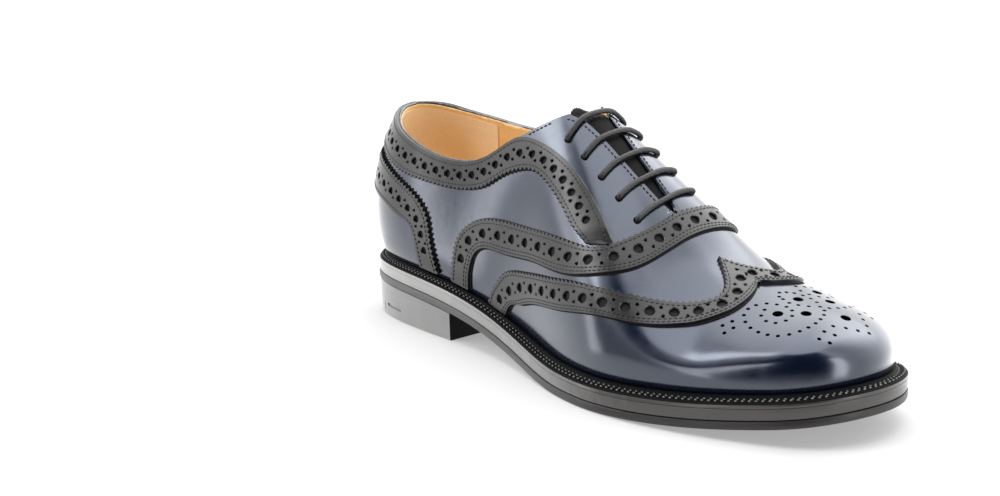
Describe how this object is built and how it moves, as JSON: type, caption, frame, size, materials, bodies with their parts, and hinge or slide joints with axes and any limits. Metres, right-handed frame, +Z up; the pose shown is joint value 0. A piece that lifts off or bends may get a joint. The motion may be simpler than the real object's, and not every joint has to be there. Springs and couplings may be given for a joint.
{
  "type": "full brogue oxford shoe",
  "caption": "Right laced dress shoe with a hollow leather upper, raised pinked brogue bands, a closed throat with a bar lace, a welted sole and a low heel; worn on the foot.",
  "frame": {"origin": "On the floor under the middle of the shoe's bounding box.", "axes": "+X runs from heel to toe, -Y is the outer (little toe) side, +Y the inner side, +Z is up."},
  "size_m": [0.2767, 0.0983, 0.1082],
  "materials": {
    "upper_leather": "high-shine polished navy calf",
    "band_leather": "polished charcoal calf",
    "lining_leather": "matt tan lining leather",
    "sole_edge": "dark stained and waxed edge",
    "outsole_rubber": "matt black",
    "lace_cord": "round woven waxed cord"
  },
  "bodies": {
    "root": {"outsole": "outsole_rubber", "midsole": "sole_edge", "welt": "sole_edge", "heel_block": "sole_edge", "insole": "lining_leather", "upper": "upper_leather", "tongue": "upper_leather", "laces": "lace_cord", "wing_band": "band_leather", "vamp_band": "band_leather", "collar_band": "band_leather", "counter_band": "band_leather"}
  },
  "joints": []
}
